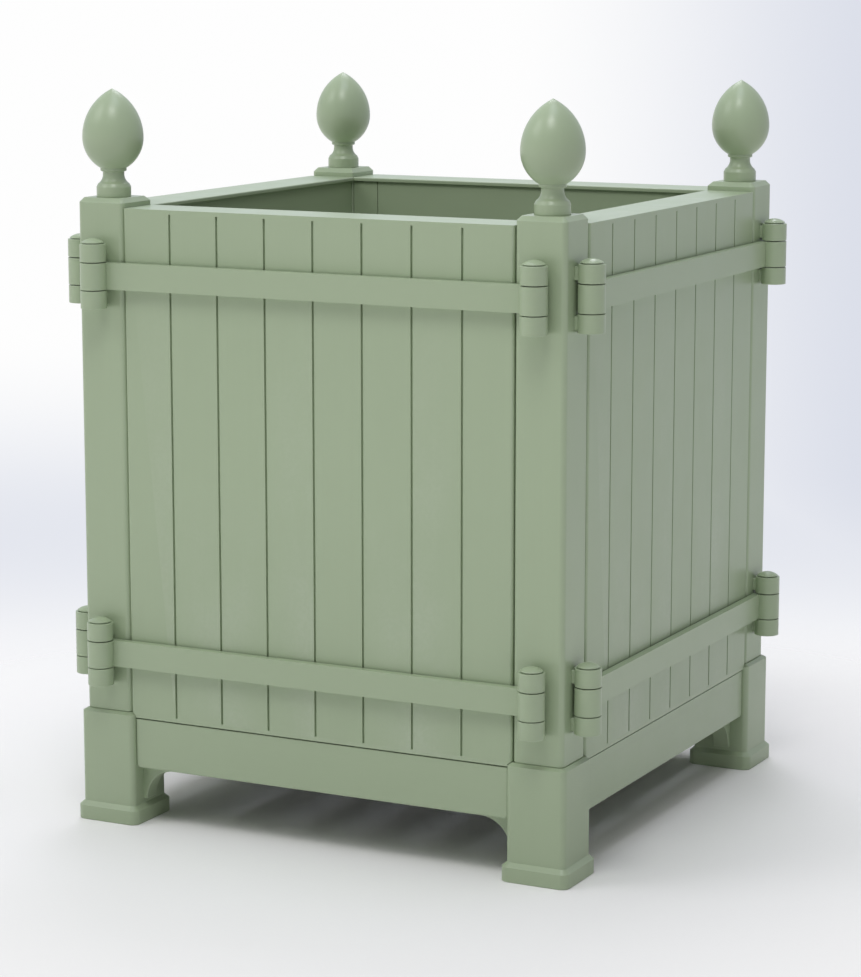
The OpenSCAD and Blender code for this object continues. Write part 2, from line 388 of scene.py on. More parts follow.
def applied(mesh: Mesh, add: Callable[[Object], None]) -> Mesh:
    """Puts modifiers on a mesh and returns the plain mesh that comes out.

    Args:
        mesh: The mesh to work on, which is removed.
        add: Adds the modifiers to an object that holds the mesh.

    Returns:
        A mesh with no modifiers left on it.
    """
    holder = placed("holder", mesh)
    add(holder)
    depsgraph = bpy.context.evaluated_depsgraph_get()
    result = bpy.data.meshes.new_from_object(
        holder.evaluated_get(depsgraph), preserve_all_data_layers=True, depsgraph=depsgraph)
    bpy.data.objects.remove(holder)
    bpy.data.meshes.remove(mesh)
    return result


def mark_edge_wear(mesh: Mesh, flat: float = 150.0, sharp: float = 900.0,
                   least: float = 0.02) -> None:
    """Stores how sharply each point bulges, as the attribute that wear reads.

    Args:
        mesh: The finished mesh.
        flat: Curvature in 1/m up to which a point counts as flat.
        sharp: Curvature from which it counts as a bare arris.
        least: Angle between two faces, in radians, under which an edge is left out.
    """
    shape = bmesh.new()
    shape.from_mesh(mesh)
    worn = np.zeros(len(shape.verts), np.float32)
    for edge in shape.edges:
        if len(edge.link_faces) != 2:
            continue
        angle = edge.calc_face_angle_signed(0)
        length = edge.calc_length()
        if angle <= least or length < MERGE / 10:
            continue
        width = sum(face.calc_area() for face in edge.link_faces) / length / 2
        bulge = (angle / max(width, MERGE) - flat) / (sharp - flat)
        for vertex in edge.verts:
            worn[vertex.index] = max(worn[vertex.index], min(1.0, bulge))
    shape.free()
    attribute = mesh.attributes.new(EDGE_WEAR, "FLOAT", "POINT")
    attribute.data.foreach_set("value", worn)


def settled(shape: Shape, name: str, smooth: float = 40.0) -> Mesh:
    """Finishes a shape: outward faces, soft shading that keeps flats flat.

    Args:
        shape: The shape, which is used up.
        name: The mesh's name.
        smooth: Angle in degrees from which an edge stays sharp.

    Returns:
        The finished mesh with its edge wear marked.
    """
    mesh = shape.true_up().mesh(name)
    mesh.shade_smooth()
    mesh.set_sharp_from_angle(angle=math.radians(smooth))

    def weigh(holder: Object) -> None:
        """Lets the large faces rule the shading."""
        modifier = holder.modifiers.new("flats", "WEIGHTED_NORMAL")
        modifier.mode = "FACE_AREA"
        modifier.weight = 75
        modifier.keep_sharp = True

    mesh = applied(mesh, weigh)
    mesh.name = name
    mark_edge_wear(mesh)
    return mesh


# ---- node trees ----


class Graph:
    """Adds nodes to a tree and joins them, so that an effect reads in order."""

    def __init__(self, tree: NodeTree) -> None:
        """Takes the tree that the nodes go into."""
        self.tree = tree

    def node(self, kind: str, inputs: dict[str | int, Any] | None = None, **settings: Any) -> Node:
        """Adds a node.

        Args:
            kind: Blender's name for the node.
            inputs: For each input, by name or number, a value or a socket.
            **settings: The node's own settings.

        Returns:
            The node.
        """
        node = self.tree.nodes.new(kind)
        for name, value in settings.items():
            setattr(node, name, value)
        for key, value in (inputs or {}).items():
            if isinstance(value, NodeSocket):
                self.tree.links.new(value, node.inputs[key])
            else:
                node.inputs[key].default_value = value
        return node

    def math(self, operation: str, *values: Any) -> NodeSocket:
        """The result of a Math node."""
        return self.node("ShaderNodeMath", dict(enumerate(values)), operation=operation).outputs[0]

    def fold(self, operation: str, values: Iterable[Any]) -> NodeSocket:
        """Joins any number of values by one Math node after another."""
        return reduce(lambda first, second: self.math(operation, first, second), values)

    def times(self, *values: Any) -> NodeSocket:
        """The product of numbers."""
        return self.fold("MULTIPLY", values)

    def plus(self, *values: Any) -> NodeSocket:
        """The sum of numbers."""
        return self.fold("ADD", values)

    def vector(self, operation: str, *values: Any) -> NodeSocket:
        """The result of a Vector Math node."""
        inputs = dict(enumerate(values))
        return self.node("ShaderNodeVectorMath", inputs, operation=operation).outputs[0]

    def noise(self, vector: Any, scale: Any, detail: float = 2.0, rough: float = 0.5) -> NodeSocket:
        """A noise value about one half."""
        inputs = {"Vector": vector, "Scale": scale, "Detail": detail, "Roughness": rough}
        return self.node("ShaderNodeTexNoise", inputs).outputs[0]

    def ramp(self, value: Any, low: Any, high: Any, to_low: Any = 0.0,
             to_high: Any = 1.0) -> NodeSocket:
        """Takes a value smoothly from one range to another."""
        inputs = {"Value": value, "From Min": low, "From Max": high,
                  "To Min": to_low, "To Max": to_high}
        return self.node("ShaderNodeMapRange", inputs, interpolation_type="SMOOTHSTEP").outputs[0]

    def mix(self, factor: Any, first: Any, second: Any) -> NodeSocket:
        """A mix of two colours."""
        inputs = {0: factor, 6: first, 7: second}
        return self.node("ShaderNodeMix", inputs, data_type="RGBA").outputs[2]

    def measure(self, operation: str, *values: Any) -> NodeSocket:
        """The number that a Vector Math node gives, such as a length or a dot product."""
        return self.vector(operation, *values).node.outputs["Value"]

    def group(self, tree: NodeTree, inputs: dict[str | int, Any]) -> Any:
        """The outputs of a node group, placed with its own values."""
        return self.node("ShaderNodeGroup", inputs, node_tree=tree).outputs

    def seen(self) -> NodeSocket:
        """One for rays that show the surface, zero for rays that only light."""
        path = self.node("ShaderNodeLightPath").outputs
        kinds = ("Camera", "Glossy", "Transmission")
        return self.fold("MAXIMUM", (path[f"Is {kind} Ray"] for kind in kinds))

    def index(self) -> NodeSocket:
        """The number of a point or a copy."""
        return self.node("GeometryNodeInputIndex").outputs[0]

    def upright(self, value: Any) -> NodeSocket:
        """A vector along Z."""
        return self.node("ShaderNodeCombineXYZ", {"Z": value}).outputs[0]

    def line(self, count: Any, first: Any, step: Any = (0.0, 0.0, 0.0)) -> NodeSocket:
        """Points in a row, or all in one spot where no step is given."""
        inputs = {"Count": count, "Start Location": first, "Offset": step}
        return self.node("GeometryNodeMeshLine", inputs, mode="OFFSET").outputs[0]

    def copies(self, points: Any, shape: Any, turn: Any = (0.0, 0.0, 0.0)) -> NodeSocket:
        """A copy of a shape at each point."""
        inputs = {"Points": points, "Instance": shape, "Rotation": turn}
        return self.node("GeometryNodeInstanceOnPoints", inputs).outputs[0]


def fresh(owner: Material | World) -> Graph:
    """The emptied node tree of a material or a world."""
    owner.use_nodes = True
    owner.node_tree.nodes.clear()
    return Graph(owner.node_tree)


def sockets(tree: NodeTree, way: str, named: dict[str, str]) -> None:
    """Adds named inputs or outputs to a tree.

    Args:
        tree: The tree.
        way: "INPUT" or "OUTPUT".
        named: For each name, the end of its socket type's name.
    """
    for name, kind in named.items():
        tree.interface.new_socket(name, in_out=way, socket_type=f"NodeSocket{kind}")


# ---- shapes that repeat or follow a rule: Geometry Nodes ----


class Pattern:
    """A Geometry Nodes tree that makes a mesh from named sizes."""

    def __init__(self, name: str, inputs: dict[str, str],
                 build: Callable[[Graph, Any], NodeSocket]) -> None:
        """Builds the tree.

        Args:
            name: The tree's name.
            inputs: Named sizes and their socket types, besides the mesh.
            build: Takes the graph and the named sizes, and adds the nodes that
                make the mesh.
        """
        self.tree = bpy.data.node_groups.new(name, "GeometryNodeTree")
        sockets(self.tree, "INPUT", {"Geometry": "Geometry", **inputs, "Paint": "Material"})
        sockets(self.tree, "OUTPUT", {"Geometry": "Geometry"})
        graph = Graph(self.tree)
        sizes = graph.node("NodeGroupInput").outputs
        plain = graph.node("GeometryNodeRealizeInstances", {"Geometry": build(graph, sizes)})
        painted = graph.node("GeometryNodeSetMaterial", {
            "Geometry": plain.outputs[0], "Material": sizes["Paint"]})
        graph.node("NodeGroupOutput", {"Geometry": painted.outputs[0]})

    def run(self, mesh: Mesh, **values: Any) -> Mesh:
        """Runs the tree on a mesh.

        Args:
            mesh: What the tree starts from, which is removed.
            **values: Each named size, with _ for a space in its name.

        Returns:
            The plain mesh that comes out.
        """
        wanted = {name.replace("_", " ").lower(): value for name, value in values.items()}

        def add(holder: Object) -> None:
            """Adds the tree and sets its inputs by their identifiers."""
            modifier = holder.modifiers.new("pattern", "NODES")
            modifier.node_group = self.tree
            for item in self.tree.interface.items_tree:
                if item.in_out == "INPUT" and item.name.lower() in wanted:
                    modifier[item.identifier] = wanted[item.name.lower()]

        return applied(mesh, add)


def turned_nodes(graph: Graph, sizes: Any) -> NodeSocket:
    """Turns a profile about an upright axis.

    Args:
        graph: The pattern's graph.
        sizes: Its named sizes: the profile, with radius in X and height in Z,
            the number of faces round it, and the axis's place.

    Returns:
        The turned mesh.
    """
    profile, facets = sizes["Geometry"], sizes["Facets"]
    count = graph.node("GeometryNodeAttributeDomainSize", {"Geometry": profile})
    rings = count.outputs["Point Count"]
    grid = graph.node("GeometryNodeMeshGrid", {
        "Size X": 1.0, "Size Y": 1.0, "Vertices X": graph.plus(facets, 1.0), "Vertices Y": rings,
    }).outputs["Mesh"]
    index = graph.index()
    spoke = graph.math("FLOOR", graph.math("DIVIDE", index, rings))
    row = graph.math("SUBTRACT", index, graph.times(spoke, rings))
    position = graph.node("GeometryNodeInputPosition").outputs[0]
    wanted = {"Geometry": profile, "Value": position, "Index": row}
    sample = graph.node("GeometryNodeSampleIndex", wanted, data_type="FLOAT_VECTOR")
    place = graph.node("ShaderNodeSeparateXYZ", {0: sample.outputs[0]}).outputs
    angle = graph.times(graph.math("DIVIDE", spoke, facets), math.tau)
    across, along = (graph.times(place["X"], graph.math(way, angle)) for way in ("COSINE", "SINE"))
    spot = graph.node("ShaderNodeCombineXYZ", {"X": across, "Y": along, "Z": place["Z"]}).outputs[0]
    at_axis = graph.vector("ADD", spot, sizes["Axis"])
    moved = graph.node("GeometryNodeSetPosition", {"Geometry": grid, "Position": at_axis})
    return graph.node("GeometryNodeMergeByDistance", {
        "Geometry": moved.outputs[0], "Distance": MERGE}).outputs[0]


def row_nodes(graph: Graph, sizes: Any) -> NodeSocket:
    """Repeats a mesh along a straight row."""
    points = graph.line(sizes["Count"], sizes["First"], sizes["Step"])
    return graph.copies(points, sizes["Geometry"])


def groove_nodes(graph: Graph, sizes: Any) -> NodeSocket:
    """Cuts a row of equal grooves into a mesh."""
    cutter = graph.node("GeometryNodeMeshCube", {"Size": sizes["Cutter"]}).outputs["Mesh"]
    cutters = graph.copies(graph.line(sizes["Count"], sizes["First"], sizes["Step"]), cutter)
    real = graph.node("GeometryNodeRealizeInstances", {"Geometry": cutters}).outputs[0]
    return graph.node("GeometryNodeMeshBoolean", {"Mesh 1": sizes["Geometry"], "Mesh 2": real},
                      operation="DIFFERENCE", solver="EXACT").outputs["Mesh"]


def quarter_nodes(graph: Graph, sizes: Any) -> NodeSocket:
    """Repeats a mesh by equal turns about the middle of the planter."""
    share = graph.math("DIVIDE", graph.times(graph.index(), math.tau), sizes["Count"])
    points = graph.line(sizes["Count"], (0.0, 0.0, 0.0))
    return graph.copies(points, sizes["Geometry"], graph.upright(share))


def stack_nodes(graph: Graph, sizes: Any) -> NodeSocket:
    """Repeats a mesh above and below each hinge, at two levels, on two faces of a post."""
    gap = graph.upright(sizes["Pair Gap"])
    pair = graph.line(2, graph.vector("MULTIPLY", gap, (0.0, 0.0, -0.5)), gap)
    hinge = graph.copies(pair, sizes["Geometry"])
    levels = graph.line(2, graph.upright(sizes["Lower Level"]), graph.upright(sizes["Level Gap"]))
    turn = graph.upright(graph.times(graph.index(), -math.pi / 2))
    return graph.copies(graph.line(2, sizes["Post"]), graph.copies(levels, hinge), turn)


@dataclass
class Patterns:
    """The trees that the sub-assemblies share."""

    turned: Pattern = field(default_factory=lambda: Pattern(
        "turned_on_an_axis", {"Facets": "Int", "Axis": "Vector"}, turned_nodes))
    row: Pattern = field(default_factory=lambda: Pattern(
        "row_of_boards", {"Count": "Int", "First": "Vector", "Step": "Vector"}, row_nodes))
    grooves: Pattern = field(default_factory=lambda: Pattern(
        "stopped_grooves",
        {"Count": "Int", "First": "Vector", "Step": "Vector", "Cutter": "Vector"}, groove_nodes))
    quarters: Pattern = field(default_factory=lambda: Pattern(
        "turns_about_the_middle", {"Count": "Int"}, quarter_nodes))
    stack: Pattern = field(default_factory=lambda: Pattern(
        "knuckles_of_a_post",
        {"Pair Gap": "Float", "Lower Level": "Float", "Level Gap": "Float", "Post": "Vector"},
        stack_nodes))


# ---- paint ----


def linear(red: int, green: int, blue: int) -> Colour:
    """A colour card's values, 0 to 255, as the numbers that light uses."""
    def channel(value: int) -> float:
        """One value."""
        v = value / 255
        return v / 12.92 if v <= 0.04045 else ((v + 0.055) / 1.055) ** 2.4
    return (channel(red), channel(green), channel(blue), 1.0)


@dataclass
class Effects:
    """Shader groups that more than one coat of paint uses.

    The numbers are how often each pattern repeats in a metre; the grain's is
    beside the bristles' own.
    """

    grain: float = 0.22
    settling: float = 160.0
    patches: float = 14.0
    nicks: float = 260.0
    clouds: float = 5.0
    sheen: float = 22.0

    def __post_init__(self) -> None:
        """Builds each group once."""
        numbers = dict.fromkeys(("Marks", "Worn", "Mottle", "Streaks", "Satin", "Dull"), "Float")
        self.marks = self._group(
            "brush_marks", {"Vector": "Vector", "Stretch": "Vector"},
            {"Marks": "Float", "Height": "Float"}, self._brush_marks)
        self.wear = self._group(
            "edge_wear", {"Vector": "Vector", "Edge": "Float", "Amount": "Float"},
            {"Worn": "Float"}, self._edge_wear)
        self.skin = self._group(
            "paint_skin",
            {"Vector": "Vector", "Paint": "Color", "Thin Paint": "Color", **numbers},
            {"Color": "Color", "Roughness": "Float"}, self._paint_skin)

    @staticmethod
    def _group(name: str, inputs: dict[str, str], outputs: dict[str, str],
               build: Callable[[Graph, Any], tuple[NodeSocket, ...]]) -> NodeTree:
        """Makes a group.

        Args:
            name: The group's name.
            inputs: Names and types of its inputs.
            outputs: Names and types of its outputs.
            build: Takes the graph and the inputs, adds the nodes and gives a
                socket for each output.

        Returns:
            The group's tree.
        """
        tree = bpy.data.node_groups.new(name, "ShaderNodeTree")
        sockets(tree, "INPUT", inputs)
        sockets(tree, "OUTPUT", outputs)
        graph = Graph(tree)
        ends = build(graph, graph.node("NodeGroupInput").outputs)
        graph.node("NodeGroupOutput", dict(zip(outputs, ends)))
        return tree

    def _brush_marks(self, graph: Graph, ins: Any) -> tuple[NodeSocket, ...]:
        """Fine marks drawn out along the way of the brush, over the grain beneath."""
        drawn = graph.vector("MULTIPLY", ins["Vector"], ins["Stretch"])
        bristles = graph.noise(drawn, 1.0, 3.0, 0.6)
        grain = graph.noise(drawn, self.grain, 4.0, 0.55)
        both = graph.plus(graph.times(bristles, 0.45), graph.times(grain, 0.55))
        settled_paint = graph.noise(ins["Vector"], self.settling)
        return both, graph.plus(graph.times(both, 0.75), graph.times(settled_paint, 0.25))

    def _edge_wear(self, graph: Graph, ins: Any) -> tuple[NodeSocket, ...]:
        """Arrises where the paint is thin, broken up so that no edge is even."""
        cloud = graph.noise(ins["Vector"], self.patches, 3.0, 0.6)
        patches = graph.ramp(cloud, 0.35, 0.62, 0.35, 1.0)
        nicks = graph.ramp(graph.noise(ins["Vector"], self.nicks), 0.4, 0.6, 0.6, 1.0)
        return (graph.times(ins["Edge"], patches, nicks, ins["Amount"]),)

    def _paint_skin(self, graph: Graph, ins: Any) -> tuple[NodeSocket, ...]:
        """Colour and roughness of a coat: slow mottle, brush marks and worn edges."""
        cloud = graph.math("SUBTRACT", graph.noise(ins["Vector"], self.clouds, 3.0), 0.5)
        streak = graph.math("SUBTRACT", ins["Marks"], 0.5)
        mottle = graph.times(cloud, ins["Mottle"])
        shade = graph.plus(1.0, mottle, graph.times(streak, ins["Streaks"]))
        toned = graph.node("ShaderNodeVectorMath", {0: ins["Paint"], "Scale": shade},
                           operation="SCALE").outputs[0]
        uneven = graph.noise(ins["Vector"], self.sheen, 3.0, 0.6)
        sheen = graph.ramp(uneven, 0.3, 0.7, ins["Satin"], ins["Dull"])
        return graph.mix(ins["Worn"], toned, ins["Thin Paint"]), sheen


@dataclass(frozen=True)
class Paint:
    """One coat of satin oil paint.

    stretch is how often the brush marks repeat in a metre along X, Y and Z.
    satin stays above 0.274, under which the denoiser reads gloss another way
    and draws patches on flat faces.
    """

    coat: Coat
    stretch: Triple
    colour: Colour = linear(165, 181, 150)
    thin: Colour = linear(182, 193, 172)
    mottle: float = 0.04
    streaks: float = 0.04
    satin: float = 0.285
    dull: float = 0.36
    wear: float = 0.5
    relief: float = 0.00006
    relief_strength: float = 0.2
    gloss: float = 0.5
    ior: float = 1.5

    def material(self, effects: Effects) -> Material:
        """Builds the material.

        Args:
            effects: The shared shader groups.

        Returns:
            The material, named as its coat.
        """
        material = bpy.data.materials.new(self.coat.value)
        graph = fresh(material)
        place = graph.node("ShaderNodeTexCoord").outputs["Object"]
        edge = graph.node("ShaderNodeAttribute", attribute_name=EDGE_WEAR).outputs["Fac"]
        marks = graph.group(effects.marks, {"Vector": place, "Stretch": self.stretch})
        wear = graph.group(effects.wear, {"Vector": place, "Edge": edge, "Amount": self.wear})
        skin = graph.group(effects.skin, {
            "Vector": place, "Marks": marks["Marks"], "Worn": wear["Worn"],
            "Paint": self.colour, "Thin Paint": self.thin, "Mottle": self.mottle,
            "Streaks": self.streaks, "Satin": self.satin, "Dull": self.dull,
        })
        bump = graph.node("ShaderNodeBump", {
            "Strength": self.relief_strength, "Distance": self.relief, "Height": marks["Height"],
        })
        shader = graph.node("ShaderNodeBsdfPrincipled", {
            "Base Color": skin["Color"], "Roughness": skin["Roughness"], "Normal": bump.outputs[0],
            "IOR": self.ior, "Specular IOR Level": self.gloss,
        })
        graph.node("ShaderNodeOutputMaterial", {"Surface": shader.outputs[0]})
        return material


class PaintShop:
    """Mixes every coat once and hands out its material."""

    # repeats of the brush marks in a metre, across the brush's way and along it
    across = 520.0
    along = 7.0

    def __init__(self) -> None:
        """Mixes the coats; the floor inside has only its primer, a mid grey."""
        effects = Effects()
        along_x = (self.along, self.across, self.across)
        along_y = (self.across, self.along, self.across)
        primer = {"colour": linear(146, 146, 145), "thin": linear(165, 162, 155),
                  "mottle": 0.08, "streaks": 0.08, "satin": 0.45, "dull": 0.6}
        coats = (
            Paint(Coat.UPRIGHT, (self.across, self.across, self.along)),
            Paint(Coat.ALONG_X, along_x),
            Paint(Coat.ALONG_Y, along_y),
            Paint(Coat.TURNED, (60.0, 60.0, 420.0), streaks=0.03, satin=0.28, dull=0.32,
                  relief=0.00003),
            Paint(Coat.STEEL, (150.0, 150.0, 150.0), streaks=0.02, satin=0.28, dull=0.33,
                  relief=0.00005, wear=0.6),
            Paint(Coat.PRIMED_X, along_x, **primer),
            Paint(Coat.PRIMED_Y, along_y, **primer),
        )
        self._materials = {paint.coat: paint.material(effects) for paint in coats}

    def __getitem__(self, coat: Coat) -> Material:
        """The material of a coat."""
        return self._materials[coat]


# ---- handing pieces to the frame ----


@dataclass
class Workshop:
    """What every sub-assembly is made with."""

    plan: Plan
    paint: PaintShop
    patterns: Patterns

    def fit(self, mesh: Mesh, name: str, slot: Slot, node: str, coat: Coat,
            body: str = "planter") -> None:
        """Makes a mesh a piece of the planter.

        Args:
            mesh: The finished mesh, in place.
            name: The piece's name.
            slot: The record's slot that its finish belongs to; not used.
            node: The node that it stands for.
            coat: Its paint.
            body: The body that it moves with.
        """
        mesh.materials.clear()
        mesh.materials.append(self.paint[coat])
        piece = placed(name, mesh)
        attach(piece, body)
        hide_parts(node)
        LOG.info("%s: %d faces on body %s", name, len(mesh.polygons), body)

    def fit_round(self, places: type[Quarter], slot: Slot,
                  kinds: dict[str, tuple[Mesh, str, Coat | None]],
                  moves: bool = False) -> None:
        """Fits copies of one or more meshes at all four sides or corners.

        Args:
            places: Side or Corner.
            slot: The record's slot that their finish comes from.
            kinds: For each node's name, with {} for the place: the mesh as made
                at the first place, the last word of the piece's name, and its
                paint, or None for paint brushed along the side.
            moves: Whether each piece is a body of its own.
        """
        for place in places:
            for pattern, (mesh, word, coat) in kinds.items():
                node = pattern.format(place.label)
                copy = mesh.copy()
                copy.transform(place.turn)
                body = node if moves else "planter"
                self.fit(copy, f"{node}_{word}", slot, node, coat or Coat.along(place), body)

    def square_work(self, profile: Sequence[Point], half: float, name: str,
                    inner: float | None = None) -> Mesh:
        """A square block or post on the front left corner.

        Args:
            profile: Distance from its middle and height of each point of a side.
            half: Half the width of its plain part.
            name: The mesh's name.
            inner: Radius of the edge towards the middle of the planter, where it
                isn't that of the others.

        Returns:
            The finished mesh.
        """
        plan = self.plan
        loops = []
        for out, z in profile:
            radius = max(0.001, plan.corner_r + (out - half) * (0.6 if out > half else 0.7))
            loops.append([Vector((x, y, z)) for x, y in soft_square(out, radius, inner or radius)])
        move = Matrix.Translation((-plan.post_c, -plan.post_c, 0))
        return settled(Shape().skin(loops).move(move), name)

    def patterned(self, pattern: Pattern, start: Shape, coat: Coat, **sizes: Any) -> Shape:
        """Runs a pattern on a shape.

        Args:
            pattern: The pattern.
            start: The shape, which is used up.
            coat: Its paint.
            **sizes: The pattern's named sizes.

        Returns:
            The shape that comes out, still to be settled.
        """
        return Shape.of(pattern.run(start.mesh("start"), paint=self.paint[coat], **sizes))

    def turned_work(self, profile: Sequence[Point], facets: int, axis: Point, coat: Coat) -> Shape:
        """A turned shape.

        Args:
            profile: Radius and height of each point, from one end to the other.
            facets: Faces round the axis.
            axis: X and y of the axis.
            coat: Its paint.

        Returns:
            The shape, still to be settled.
        """
        line = bpy.data.meshes.new("profile")
        line.from_pydata([(r, 0.0, z) for r, z in profile], [], [])
        return Shape.of(self.patterns.turned.run(
            line, facets=facets, axis=(*axis, 0.0), paint=self.paint[coat]))


# ---- sub-assemblies ----


@dataclass
class Stand:
    """Four foot blocks, four base rails and eight corbels."""

    shop: Workshop
    plinth_proud: float = 0.0046
    plinth_h: float = 0.015
    plinth_slope: float = 0.0043
    arris: float = 0.0006
    rail_set: float = 0.001
    rail_t: float = 0.0467
    rail_corner: float = 0.0045
    corbel_s: float = 0.0365
    corbel_r: float = 0.0325
    corbel_t: float = 0.018
    corbel_set: float = 0.0147
    front_edge: float = 0.0022
    joint_edge: float = 0.0009

    def foot(self) -> Mesh:
        """The front left foot: a plinth, a slope and a block with a sloped top."""
        plan = self.shop.plan
        block = plan.foot_w / 2
        plinth = block + self.plinth_proud
        profile = eased([
            (plinth - 0.0008, 0.0, 0.0),
            (plinth, 0.0008, 0.0006),
            (plinth, self.plinth_h, self.arris),
            (block, self.plinth_h + self.plinth_slope, 0.0005),
            (block, plan.foot_h - plan.foot_rise, self.arris),
            (block - plan.foot_run, plan.foot_h, 0.0007),
            (block - plan.foot_run - 0.002, plan.foot_h, 0.0),
        ], closed=False)
        return self.shop.square_work(profile, block, "foot")

    def base_rail(self) -> Mesh:
        """The front base rail between two feet, its front edges and lower corners rounded."""
        plan = self.shop.plan
        front = -plan.half + self.rail_set
        right = [(plan.foot_in, plan.rail_z, self.rail_corner), (plan.foot_in, plan.rail_top, 0.0)]
        left = [(-x, z, radius) for x, z, radius in reversed(right)]
        outline = eased([*right, *left], steps=5)
        rail = Shape().prism(outline, "Y", front, front + self.rail_t)
        top = plan.rail_top - NEAR
        rail.ease(self.front_edge, 4, lambda mid: mid.y < front + NEAR and mid.z < top)
        rail.ease(self.joint_edge, 2, lambda mid: mid.y < front + NEAR and mid.z > top)
        return settled(rail, "base_rail")

    def corbels(self) -> Mesh:
        """All corbels: one pair under the front rail, repeated by quarter turns."""
        plan = self.shop.plan
        low = plan.rail_z - self.corbel_s
        left = -plan.foot_in
        far = left + self.corbel_s
        near, top = plan.foot_in - NEAR, plan.rail_z - NEAR
        front = -plan.half + self.corbel_set
        outline = [(left, low)]
        outline += arc((far, low), self.corbel_r, 180, 90, 24)
        outline += [(far, plan.rail_z), (left, plan.rail_z)]
        pair = Shape()
        for points in (outline, [(-x, z) for x, z in outline]):
            corbel = Shape().prism(points, "Y", front, front + self.corbel_t)
            corbel.ease(self.joint_edge, 3, lambda mid: abs(mid.x) < near and mid.z < top)
            pair.add(corbel)
        corbels = self.shop.patterned(self.shop.patterns.quarters, pair, Coat.UPRIGHT, count=4)
        return settled(corbels, "corbels")

    def build(self) -> None:
        """Makes and fits the pieces of the stand."""
        fit_round = self.shop.fit_round
        fit_round(Corner, Slot.TIMBER, {"foot_{}": (self.foot(), "block", Coat.UPRIGHT)})
        fit_round(Side, Slot.TIMBER, {"base_rail_{}": (self.base_rail(), "bar", None)})
        self.shop.fit(self.corbels(), "corbel_set", Slot.TIMBER, "corbels", Coat.UPRIGHT)


@dataclass
class CornerPosts:
    """Four posts with rounded outer edges, a nearly sharp inner one and sloped tops."""

    shop: Workshop
    inner_r: float = 0.001
    slope: float = 0.0045
    arris: float = 0.0010
    foot_arris: float = 0.0009

    def post(self) -> Mesh:
        """The front left post, from its foot to its top."""
        plan = self.shop.plan
        half = plan.post_w / 2
        profile = eased([
            (half - self.foot_arris, plan.foot_h, 0.0),
            (half, plan.foot_h + self.foot_arris, 0.0005),
            (half, plan.post_top - self.slope, self.arris),
            (half - self.slope, plan.post_top, 0.0008),
            (half - self.slope - 0.002, plan.post_top, 0.0),
        ], closed=False)
        return self.shop.square_work(profile, half, "post", self.inner_r)

    def build(self) -> None:
        """Makes and fits the posts."""
        self.shop.fit_round(Corner, Slot.TIMBER, {"post_{}": (self.post(), "shaft", Coat.UPRIGHT)})


@dataclass
class Finials:
    """Four turned finials: a ring, a cove, a neck, a collar and a pointed egg."""

    shop: Workshop
    tip_z: float = 0.7584
    egg_r: float = 0.031
    egg_rise: float = 0.060
    egg_low_r: float = 0.036
    collar_r: float = 0.0133
    collar_h: float = 0.0034
    neck_r: float = 0.0109
    ring_r: float = 0.0175
    ring_h: float = 0.0101
    bevel: float = 0.0017
    cove_r: float = 0.011
    cove_rise: float = 0.0225
    spigot_r: float = 0.006
    spigot_l: float = 0.025
    facets: int = 96

    def egg(self) -> list[Point]:
        """Outline of the egg: a rounder arc below its widest place, a flatter one above."""
        middle = self.shop.plan.post_top + self.egg_rise
        low_x = self.egg_r - self.egg_low_r
        low_angle = -math.degrees(math.acos((self.collar_r - low_x) / self.egg_low_r))
        rise = self.tip_z - middle
        high_r = (self.egg_r ** 2 + rise ** 2) / (2 * self.egg_r)
        high_x = self.egg_r - high_r
        high_angle = math.degrees(math.acos((0.0011 - high_x) / high_r))
        below = arc((low_x, middle), self.egg_low_r, low_angle, 0, 26)
        above = arc((high_x, middle), high_r, 0, high_angle, 34)
        return below + above[1:] + [(0.0006, self.tip_z - 0.00012), (0.0, self.tip_z)]

    def neck(self, egg_foot: float) -> list[Point]:
        """Outline from the spigot up to the egg.

        Args:
            egg_foot: Height at which the egg starts.

        Returns:
            The points from the lowest up.
        """
        top = self.shop.plan.post_top
        collar = egg_foot - self.collar_h
        shoulder = self.ring_r - self.bevel
        low = top - self.spigot_l
        middle = self.neck_r + self.cove_r
        cove_angle = 360 - math.degrees(math.acos((shoulder - middle) / self.cove_r))
        cove = arc((middle, top + self.cove_rise), self.cove_r, cove_angle, 180, 16)
        base = eased([
            (0.0, low, 0.0), (self.spigot_r - 0.001, low, 0.0), (self.spigot_r, low + 0.001, 0.0),
            (self.spigot_r, top, 0.0), (self.ring_r, top, 0.0004),
            (self.ring_r, top + self.ring_h, 0.0009), (*cove[0], 0.0),
        ], closed=False)
        band = eased([
            (self.neck_r, collar - 0.002, 0.0), (self.neck_r, collar, 0.0006),
            (self.collar_r - 0.001, collar, 0.0), (self.collar_r, collar + 0.0008, 0.0004),
            (self.collar_r, egg_foot, 0.0),
        ], closed=False)
        return base[:-1] + cove + band[:-1]

    def finial(self) -> Mesh:
        """The front left finial."""
        egg = self.egg()
        profile = self.neck(egg[0][1]) + egg
        axis = (-self.shop.plan.post_c, -self.shop.plan.post_c)
        shape = self.shop.turned_work(profile, self.facets, axis, Coat.TURNED)
        return settled(shape, "finial", 50.0)

    def build(self) -> None:
        """Makes and fits the finials."""
        kinds = {"finial_{}": (self.finial(), "turned", Coat.TURNED)}
        self.shop.fit_round(Corner, Slot.TIMBER, kinds)


